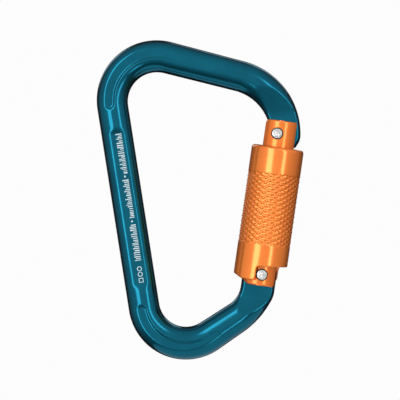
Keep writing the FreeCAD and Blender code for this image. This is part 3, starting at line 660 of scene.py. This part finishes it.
def plastic(name, low, high):
    """A dull moulded or etched surface with a fine grain."""
    material, nodes, links, surface = shader(name)
    cloud = noise(nodes, links, 0.5, 3.0)
    links.new(ramp(nodes, links, cloud.outputs["Fac"], low, high), surface.inputs["Base Color"])
    surface.inputs["Roughness"].default_value = 0.42
    grain = noise(nodes, links, 4.0, 2.0)
    add_bump(nodes, links, surface, grain.outputs["Fac"], 0.003)
    return material


# ---- pieces on the gate -----------------------------------------------------------

SLEEVE_R = 9.47
SLEEVE_BORE = 8.0
SLEEVE_TOP = 46.4
SLEEVE_FOOT = -2.3
COLLAR_FOOT = 40.0
COLLAR_BORE = 6.36
NOTCH_FROM, NOTCH_TO = -100.4, 44.0   # degrees from outward, seen from above
NOTCH_TOP = 2.9
NOTCH_RISE = 0.9                      # what the notch's top gains from the axis to the outside
NOTCH_FEET, NOTCH_CORNERS = (1.3, 2.0), (0.7, 1.2)       # their radii, left and right
SADDLE_FROM = 6.4
SADDLE_SLOPE = 0.51
KNURL_FROM, KNURL_TO = 10.8, 36.7
KNURL_STARTS = 20
KNURL_PITCH = 1.84
KNURL_DEPTH = 0.33
KNURL_FLAT = 0.24                     # share of the pitch left flat on the tips
KNURL_OUT, KNURL_IN = 0.3, 0.7        # how far past its ends, and inside them, it fades
KNURL_MARGIN = 0.4
KNURL_ROWS = 150
SKIRT_TOP = 8.0                       # the lower edge's shape has faded out by here
BORE_MIDDLE = 24.0
LIP, INNER_LIP = 0.45, 0.3            # rounding of the lower edge, outside and in
TOP_ROUND, COLLAR_ROUND, COLLAR_EDGE = 1.2, 0.4, 0.1
SLEEVE_COLUMNS = 360


def sleeve_edge():
    """The sleeve's unrolled lower edge, as distance round and height, and its inward normals."""
    reach = SLEEVE_R * math.pi / 180
    left, right = NOTCH_FROM * reach, NOTCH_TO * reach
    edge = Outline([
        ((-180 * reach, SLEEVE_FOOT), None),
        ((left, SLEEVE_FOOT), NOTCH_FEET[0]),
        ((left, NOTCH_TOP), NOTCH_CORNERS[0]),
        ((right, NOTCH_TOP), NOTCH_CORNERS[1]),
        ((right, SLEEVE_FOOT), NOTCH_FEET[1]),
        ((180 * reach, SLEEVE_FOOT), None),
    ])
    points = np.array(edge.stretch(0, len(edge.parts), SLEEVE_COLUMNS))
    ahead = np.roll(points, -1, axis=0) - np.roll(points, 1, axis=0)
    ahead[0], ahead[-1] = (1, 0), (1, 0)
    ahead /= np.linalg.norm(ahead, axis=1)[:, None]
    inward = np.stack([-ahead[:, 1], ahead[:, 0]], axis=1)
    return points, inward


def edge_lift(angle, height, radius):
    """How the notch's sloping top and the saddle over the knee lift the lower edge."""
    notch = NOTCH_RISE * np.cos(angle) * smooth_step(height, 0.5, NOTCH_TOP)
    over = np.maximum(-radius * np.cos(angle) - SADDLE_FROM, 0.0)
    return notch + SADDLE_SLOPE * over


def knurl(angle, along):
    """Depth of the diamond knurl under the sleeve's surface."""
    turn = angle * KNURL_STARTS / (2 * math.pi)
    depth = np.zeros(np.broadcast(angle, along).shape)
    for sign in (1, -1):
        phase = turn + sign * along / KNURL_PITCH
        groove = 1 - np.abs(2 * (phase - np.floor(phase)) - 1)
        depth = np.maximum(depth, np.maximum(groove - KNURL_FLAT, 0.0) / (1 - KNURL_FLAT))
    ends = smooth_step(along, KNURL_FROM - KNURL_OUT, KNURL_FROM + KNURL_IN)
    ends = ends * (1 - smooth_step(along, KNURL_TO - KNURL_IN, KNURL_TO + KNURL_OUT))
    return KNURL_DEPTH * depth * ends


def make_sleeve(material):
    edge, inward = sleeve_edge()
    even = np.linspace(-math.pi, math.pi, SLEEVE_COLUMNS, endpoint=False)
    rows = []

    def from_edge(offset, radius):
        """A row that follows the lower edge, carried in from it, at a radius."""
        spot = edge + inward * offset
        angle = spot[:, 0] / SLEEVE_R
        height = spot[:, 1] + edge_lift(angle, edge[:, 1], radius)
        return angle, height, np.full(SLEEVE_COLUMNS, radius)

    def level(height, radius):
        return even, np.full(SLEEVE_COLUMNS, height), np.full(SLEEVE_COLUMNS, radius)

    def between(low, high, share):
        return tuple(a + (b - a) * share for a, b in zip(low, high))

    for turn in np.radians([0, 22, 45, 68, 90]):
        rows.append(from_edge(LIP * (1 - math.sin(turn)), SLEEVE_R - LIP * (1 - math.cos(turn))))
    for turn in np.radians([0, 30, 60, 90]):
        rows.append(from_edge(INNER_LIP * (1 - math.cos(turn)),
                              SLEEVE_BORE + INNER_LIP * (1 - math.sin(turn))))
    skirt_top = level(SKIRT_TOP, SLEEVE_BORE)
    rows += [between(rows[-1], skirt_top, share) for share in (0.25, 0.6)]
    rows += [
        skirt_top,
        level(BORE_MIDDLE, SLEEVE_BORE),
        level(COLLAR_FOOT - COLLAR_EDGE, SLEEVE_BORE),
        level(COLLAR_FOOT, SLEEVE_BORE - COLLAR_EDGE),
        level(COLLAR_FOOT, COLLAR_BORE + COLLAR_EDGE),
        level(COLLAR_FOOT + COLLAR_EDGE, COLLAR_BORE),
        level(SLEEVE_TOP - COLLAR_ROUND, COLLAR_BORE),
    ]
    for turn in np.radians([30, 60, 90]):
        rows.append(level(SLEEVE_TOP - COLLAR_ROUND * (1 - math.sin(turn)),
                          COLLAR_BORE + COLLAR_ROUND * (1 - math.cos(turn))))
    rows.append(level(SLEEVE_TOP, SLEEVE_R - TOP_ROUND - 0.2))
    for turn in np.radians(np.linspace(0, 90, 9)):
        rows.append(level(SLEEVE_TOP - TOP_ROUND * (1 - math.cos(turn)),
                          SLEEVE_R - TOP_ROUND * (1 - math.sin(turn))))
    heights = np.concatenate([
        np.linspace(SLEEVE_TOP - TOP_ROUND, KNURL_TO + KNURL_MARGIN, 8)[1:],
        np.linspace(KNURL_TO + KNURL_MARGIN, KNURL_FROM - KNURL_MARGIN, KNURL_ROWS)[1:],
        np.linspace(KNURL_FROM - KNURL_MARGIN, SKIRT_TOP, 4)[1:],
    ])
    for height in heights:
        rows.append((even, np.full(SLEEVE_COLUMNS, height), SLEEVE_R - knurl(even, height)))
    rows += [between(rows[-1], rows[0], share) for share in (0.2, 0.4, 0.6, 0.75, 0.87, 0.95)]

    points = np.concatenate([gate_space(radius * np.cos(angle), radius * np.sin(angle), height)
                             for angle, height, radius in rows])
    faces = ring_faces(len(rows), SLEEVE_COLUMNS)
    last = (len(rows) - 1) * SLEEVE_COLUMNS
    for column in range(SLEEVE_COLUMNS):
        following = (column + 1) % SLEEVE_COLUMNS
        faces.append((last + column, last + following, following, column))
    return outward(new_piece("knurled_sleeve", points, faces, material))


HEAD_R = 1.95
SHANK_R = 1.6
SEAT_R = 2.2
SEAT = 5.6                  # depth of the seats under the heads, from the middle plane
# The ring on the seat, like the head's rim and side, takes the dark material: painted shade for
# the shadow round the head.
SEAT_RING = 0.06            # thickness of the dark ring on the seat
RIM_WIDTH = 0.22
DOME = 0.10
FACE_ROUGH, FACE_ROUGH_LEAST = 0.07, 0.012     # unevenness of the peened face
RIVET_COLUMNS = 40
RIVET_CREASE = 50
HINGE_FRONT, LATCH_FRONT, RIVET_BACK = 8.7, 6.6, 6.6     # tops of the heads


def make_rivet(name, across, along, front, back, seed, material, shade_rim_material):
    """A peened rivet: two domed heads with an uneven face, and a dark rim, side and seat ring
    painted as shade for the shadow round each head.
    """
    chance = np.random.default_rng(seed)
    angles = np.linspace(0, 2 * math.pi, RIVET_COLUMNS, endpoint=False)
    waves = [(chance.integers(2, 6), chance.uniform(0, 6.28), chance.uniform(0.3, 1))
             for i in range(3)]

    def head(top, sign):
        """Rings from a head's middle to the shank, as radius, depth and unevenness."""
        rings = [(share * (HEAD_R - RIM_WIDTH), top - DOME * share ** 2,
                  FACE_ROUGH * (1 - share) + FACE_ROUGH_LEAST)
                 for share in (0.12, 0.3, 0.48, 0.66, 0.84, 1.0)]
        for turn in np.radians([30, 60, 90]):
            rings.append((HEAD_R - RIM_WIDTH * (1 - math.sin(turn)),
                          top - DOME - RIM_WIDTH * (1 - math.cos(turn)), 0.0))
        rings += [(HEAD_R, SEAT + SEAT_RING, 0.0), (SEAT_R, SEAT + SEAT_RING, 0.0),
                  (SEAT_R, SEAT, 0.0), (SHANK_R, SEAT, 0.0)]
        return [(radius, sign * depth, rough * sign) for radius, depth, rough in rings]

    rings = head(front, -1) + head(back, 1)[::-1]
    spots = []
    for radius, depth, rough in rings:
        dent = sum(size * np.sin(count * angles + start + radius * 4)
                   for count, start, size in waves)
        spots.append(gate_space(across + radius * np.cos(angles), depth + rough * dent,
                                along + radius * np.sin(angles)))
    middle = [gate_space(np.array([across]), sign * (level - 0.02), np.array([along]))
              for sign, level in ((-1, front), (1, back))]
    points = np.concatenate(spots + middle)
    faces = ring_faces(len(rings), RIVET_COLUMNS)
    last = (len(rings) - 1) * RIVET_COLUMNS
    for column in range(RIVET_COLUMNS):
        following = (column + 1) % RIVET_COLUMNS
        faces.append((len(points) - 2, following, column))
        faces.append((last + column, last + following, len(points) - 1))
    rivet = new_piece(name, points, faces, material)
    # The second slot is painted shade: near-black metal on the rim, the head's side and the seat
    # ring, standing in for the shadow where the head sits in its seat.
    rivet.data.materials.append(shade_rim_material)
    for face in rivet.data.polygons:
        radii = [np.hypot(points[i][0] - middle[0][0, 0], points[i][2] - middle[0][0, 2])
                 for i in face.vertices]
        if max(radii) > HEAD_R - RIM_WIDTH + 0.01:
            face.material_index = 1
    outward(rivet)
    return shade_by_angle(rivet, RIVET_CREASE)


def tube(name, line, radius, material, sides=10):
    """A round wire along a line of points, closed at both ends."""
    line = np.asarray(line)
    ahead = np.gradient(line, axis=0)
    ahead /= np.linalg.norm(ahead, axis=1)[:, None]
    side = np.cross(ahead[0], [0.0, 1.0, 0.3])
    angles = np.linspace(0, 2 * math.pi, sides, endpoint=False)
    points = []
    for spot, way in zip(line, ahead):
        side = side - way * (side @ way)
        side /= np.linalg.norm(side)
        other = np.cross(way, side)
        circle = np.outer(np.cos(angles), side) + np.outer(np.sin(angles), other)
        points.append(spot + radius * circle)
    faces = ring_faces(len(line), sides)
    faces.append(tuple(range(sides)))
    faces.append(tuple(range((len(line) - 1) * sides, len(line) * sides)))
    return outward(new_piece(name, np.concatenate(points), faces, material))


def helix(radius, low, high, turns):
    """Points of a coil round the gate's axis."""
    count = int(turns * 28)
    angle = np.linspace(0, turns * 2 * math.pi, count)
    height = np.linspace(low, high, count)
    return gate_space(radius * np.cos(angle), radius * np.sin(angle), height)


TORSION_R, TORSION_WIRE = 7.15, 0.55
TORSION_FOOT, TORSION_TOP = 15.0, 38.9
TORSION_TURNS, TORSION_END = 8, 200      # whole turns, and the degrees of the last one
TORSION_FOOT_LEG = (5.6, 6.4)            # from the axis, into the gate
TORSION_TOP_LEG = (39.7, 40.5)           # up into the sleeve's collar
CLOSING_R, CLOSING_WIRE = 1.65, 0.35
CLOSING_FOOT, CLOSING_TOP, CLOSING_ANCHOR = 11.4, 29.6, 30.0
CLOSING_TURNS = 9


def make_springs(material):
    coil = helix(TORSION_R, TORSION_FOOT, TORSION_TOP, TORSION_TURNS + TORSION_END / 360)
    foot = gate_space(np.array(TORSION_FOOT_LEG), 0.0, np.full(2, TORSION_FOOT))
    last = math.radians(TORSION_END)
    head = gate_space(np.full(2, TORSION_R * math.cos(last)), TORSION_R * math.sin(last),
                      np.array(TORSION_TOP_LEG))
    line = np.concatenate([foot, coil[1:-1], head])
    torsion = tube("torsion_spring", line, TORSION_WIRE, material)
    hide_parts("sleeve_spring")
    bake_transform(torsion)

    line = helix(CLOSING_R, CLOSING_FOOT, CLOSING_TOP, CLOSING_TURNS)
    push = tube("closing_spring", line, CLOSING_WIRE, material, sides=8)
    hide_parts("gate_spring")
    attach(push, "gate")
    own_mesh(push)


# ---- gate -----------------------------------------------------------------------

GATE_R = 6.3
GATE_TOP, GATE_BOTTOM = 56.0, -4.0
GATE_EDGE = 0.6                     # rounding of the ears' ends
EAR_SLOT = 2.9                      # half the width of the slots between the ears
NOSE_SLOT_FLOOR, HINGE_SLOT_FLOOR = 46.1, 5.5
NOSE_SLOT_BEYOND, HINGE_SLOT_BEYOND = 60.0, -8.0
BORE_R, BORE_FOOT, BORE_TOP = 2.16, 3.0, 30.0
SEAT_CUT_R, SEAT_CUT_TO = 2.25, 7.5

GATE_OUTER = Outline([
    ((1.0, GATE_TOP), None),
    ((GATE_R, GATE_TOP), 0.9),
    ((GATE_R, GATE_BOTTOM), 1.7),
    ((1.0, GATE_BOTTOM), None),
])
GATE_INNER = Outline([
    ((-1.0, GATE_TOP), None),
    ((-GATE_R, GATE_TOP), 2.4),
    ((-GATE_R, GATE_BOTTOM), 3.2),
    ((-1.0, GATE_BOTTOM), None),
])
GATE_STRETCHES = [((1, 2), (1, 2), 14), ((2, 3), (2, 3), 90), ((3, 4), (3, 4), 18)]


def gate_height(points):
    """Half depth of the round gate, its ends' edges rounded over."""
    ends = [chain.parts[i] for chain in (GATE_OUTER, GATE_INNER) for i in (0, 1, 3, 4)]
    round_bar = np.sqrt(np.maximum(GATE_R ** 2 - points[:, 0] ** 2, 0.0))
    return round_bar - edge_drop(GATE_OUTER.distance(points, ends), GATE_EDGE)


def slot_tool(name, low, high):
    """A closed box across the gate, as wide as the ears' slot, between two levels."""
    beyond = GATE_R + 3
    corners = [(-beyond, low), (beyond, low), (beyond, high), (-beyond, high)]
    return prism(name, corners, (-EAR_SLOT, EAR_SLOT))


def bore_tool():
    """A closed cylinder along the gate's axis."""
    across, depth = np.array(disc(0, 0, BORE_R)).T
    points = [gate_space(across, depth, np.full(48, level)) for level in (BORE_FOOT, BORE_TOP)]
    return cutting_tool("bore", np.concatenate(points), 48)


def make_gate(material):
    outer, inner = stations(GATE_OUTER, GATE_INNER, GATE_STRETCHES)
    gate = slab("round_gate", outer, inner, gate_height, material)
    flat = np.array([vertex.co for vertex in gate.data.vertices]) / MM
    placed = gate_space(flat[:, 0], flat[:, 1], flat[:, 2]) * MM
    gate.data.vertices.foreach_set("co", placed.ravel())
    gate.data.update()
    cut_away(gate, slot_tool("nose_slot", NOSE_SLOT_FLOOR, NOSE_SLOT_BEYOND))
    cut_away(gate, slot_tool("hinge_slot", HINGE_SLOT_BEYOND, HINGE_SLOT_FLOOR))
    cut_away(gate, bore_tool())
    for centre in (HINGE, LATCH):
        for side in (-1, 1):
            depths = (side * SEAT, side * SEAT_CUT_TO)
            cut_away(gate, prism("seat", disc(*centre, SEAT_CUT_R), depths))
    return shade_by_angle(gate)


# ---- studio ---------------------------------------------------------------------

def aim(item, place, target, up=(0, 0, 1)):
    """Stand an item at a place with its -Z axis at a target and its Y axis near up."""
    back = (Vector(place) - Vector(target)).normalized()
    right = Vector(up).cross(back).normalized()
    top = back.cross(right)
    turn = Matrix((right, top, back)).transposed().to_4x4()
    item.matrix_world = Matrix.Translation(Vector(place)) @ turn


LIGHT_DISTANCE = 0.9     # metres, as are the sizes of the lights
LIGHTS = [               # name, azimuth from the camera towards +X, elevation, size, power
    ("key_left", -26, 11, (0.40, 1.00), 3.7),
    ("strip_right", 34, 4, (0.17, 0.90), 1.6),
    ("low_right", 14, -28, (0.16, 0.14), 0.20),
    ("fill_back_left", -150, 32, (0.30, 0.50), 0.5),
    ("fill_back_right", 150, 32, (0.30, 0.50), 0.5),
]


def soft_light(name, azimuth, elevation, size, power, target):
    """A rectangular soft box that faces a target."""
    light = bpy.data.lights.new(name, "AREA")
    light.shape = "RECTANGLE"
    light.size, light.size_y = size
    light.energy = power
    lamp = bpy.data.objects.new(name, light)
    bpy.context.scene.collection.objects.link(lamp)
    a, e = math.radians(azimuth), math.radians(elevation)
    way = Vector((math.sin(a) * math.cos(e), -math.cos(a) * math.cos(e), math.sin(e)))
    aim(lamp, Vector(target) + way * LIGHT_DISTANCE, target)


def make_studio(centre):
    for light in LIGHTS:
        soft_light(*light, centre)
    make_surround()
    make_floor()


# How bright the surroundings are, by share of the way from the front (0) to behind (1).
SURROUND = [(0.0, 0.92), (0.25, 0.82), (0.50, 0.60), (0.62, 0.42), (0.74, 0.20), (0.82, 0.05),
            (0.93, 0.03), (0.97, 0.10), (1.0, 0.16)]


BELOW_FROM, BELOW_SHADE = -0.8, 0.2      # how the surroundings darken below the horizon
BACKDROP = 0.98


def make_surround():
    """Pale to the camera; to the metal, bright in front and dark to the sides of the back."""
    world = bpy.data.worlds.new("studio")
    bpy.context.scene.world = world
    world.use_nodes = True
    nodes, links = world.node_tree.nodes, world.node_tree.links
    background = nodes["Background"]
    way = nodes.new("ShaderNodeTexCoord")
    split = nodes.new("ShaderNodeSeparateXYZ")
    links.new(way.outputs["Generated"], split.inputs["Vector"])
    share = nodes.new("ShaderNodeMapRange")
    share.inputs["From Min"].default_value = -1.0
    share.inputs["From Max"].default_value = 1.0
    links.new(split.outputs["Y"], share.inputs["Value"])
    shades = nodes.new("ShaderNodeValToRGB")
    while len(shades.color_ramp.elements) < len(SURROUND):
        shades.color_ramp.elements.new(0.5)
    for stop, (place, level) in zip(shades.color_ramp.elements, SURROUND):
        stop.position = place
        stop.color = (level, level, level, 1)
    links.new(share.outputs["Result"], shades.inputs["Fac"])
    links.new(shades.outputs["Color"], background.inputs["Color"])
    below = nodes.new("ShaderNodeMapRange")
    below.inputs["From Min"].default_value = BELOW_FROM
    below.inputs["From Max"].default_value = 0.0
    below.inputs["To Min"].default_value = BELOW_SHADE
    below.inputs["To Max"].default_value = 1.0
    links.new(split.outputs["Z"], below.inputs["Value"])
    links.new(below.outputs["Result"], background.inputs["Strength"])
    seen = nodes.new("ShaderNodeBackground")
    seen.inputs["Color"].default_value = (BACKDROP, BACKDROP, BACKDROP, 1)
    path = nodes.new("ShaderNodeLightPath")
    mix = nodes.new("ShaderNodeMixShader")
    links.new(path.outputs["Is Camera Ray"], mix.inputs["Fac"])
    links.new(background.outputs["Background"], mix.inputs[1])
    links.new(seen.outputs["Background"], mix.inputs[2])
    links.new(mix.outputs["Shader"], nodes["World Output"].inputs["Surface"])


FLOOR_LEVEL = -140.0
FLOOR_RADIUS = 120.0


def make_floor():
    floor_material, nodes, links, surface = shader("pale_floor")
    paper = noise(nodes, links, 0.05, 3.0)
    links.new(ramp(nodes, links, paper.outputs["Fac"], (0.87, 0.87, 0.86), (0.90, 0.90, 0.89)),
              surface.inputs["Base Color"])
    surface.inputs["Emission Color"].default_value = (1, 1, 1, 1)
    surface.inputs["Emission Strength"].default_value = 0.2
    surface.inputs["Roughness"].default_value = 0.8
    angles = np.linspace(0, 2 * math.pi, 97)[:-1]
    rim = [(FLOOR_RADIUS * math.cos(a), FLOOR_RADIUS * math.sin(a), FLOOR_LEVEL) for a in angles]
    floor = new_piece("floor", rim, [tuple(range(len(rim)))], floor_material, smooth=False)


CAMERA_DISTANCE, VIEW_WIDTH = 1.5, 0.14473      # metres
CAMERA_ROLL = 8.91                              # degrees
CAMERA_TARGET = (-4.11, 0, -1.58)


def make_camera():
    """The photograph's view: straight on, rolled until the spine's top leans left."""
    camera = bpy.data.cameras.new("camera")
    item = bpy.data.objects.new("camera", camera)
    bpy.context.scene.collection.objects.link(item)
    camera.sensor_width = 36.0
    camera.lens = camera.sensor_width * CAMERA_DISTANCE / VIEW_WIDTH
    camera.clip_start, camera.clip_end = 0.1, 10.0
    target = Vector(CAMERA_TARGET) * MM
    roll = math.radians(CAMERA_ROLL)
    up = (math.sin(roll), 0, math.cos(roll))
    aim(item, target + Vector((0, -CAMERA_DISTANCE, 0)), target, up)
    bpy.context.scene.camera = item
    bpy.context.scene.view_settings.view_transform = "Standard"


# ---- making ---------------------------------------------------------------------

def dress(node, material):
    """Give a CAD node's slots one material."""
    item = frame["nodes"][node]
    item.data.materials.clear()
    item.data.materials.append(material)


teal = anodised("anodised_teal", (0.0005, 0.104, 0.166), (0.001, 0.123, 0.190), 0.17, 0.18)
orange = anodised("anodised_orange", (0.90, 0.185, 0.010), (0.95, 0.212, 0.013), 0.22, 0.6,
                  metallic=0.6)
knurled_orange = anodised("anodised_orange_knurled", (0.91, 0.200, 0.010), (0.96, 0.226, 0.013),
                          0.20, 0.8, metallic=0.6)
steel = bare_metal("stainless", (0.50, 0.50, 0.49), (0.74, 0.74, 0.73), 0.22, 0.03)
# Painted shade: a near-black metal for the rivets' rims, sides and seat rings, standing in for
# the shadow round the heads.
painted_shade_metal = bare_metal("painted_seat_shade", (0.06, 0.065, 0.06), (0.10, 0.10, 0.09), 0.4, 0.004)
spring_steel = bare_metal("spring_steel", (0.32, 0.31, 0.30), (0.42, 0.41, 0.40), 0.3, 0.004)
acetal = plastic("acetal", (0.75, 0.74, 0.71), (0.80, 0.79, 0.76))
etched = plastic("etched_marks", (0.42, 0.55, 0.60), (0.62, 0.72, 0.75))

body = make_body(teal)
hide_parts("body")
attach(body, "frame")

sleeve = make_sleeve(knurled_orange)
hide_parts("locking_sleeve")
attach(sleeve, "sleeve")

for name, node, centre, front, seed in (
    ("peened_hinge_rivet", "hinge_rivet", HINGE, HINGE_FRONT, 3),
    ("peened_latch_rivet", "latch_rivet", LATCH, LATCH_FRONT, 8),
):
    rivet = make_rivet(name, *centre, front, RIVET_BACK, seed, steel, painted_shade_metal)
    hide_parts(node)
    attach(rivet, "gate")

gate = make_gate(orange)
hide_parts("gate")
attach(gate, "gate")

make_springs(spring_steel)
dress("guide_stud", steel)
for node in ("centring_ring", "gate_plunger"):
    dress(node, acetal)

make_studio((cad_box[0] + cad_box[1]) / 2)
make_camera()
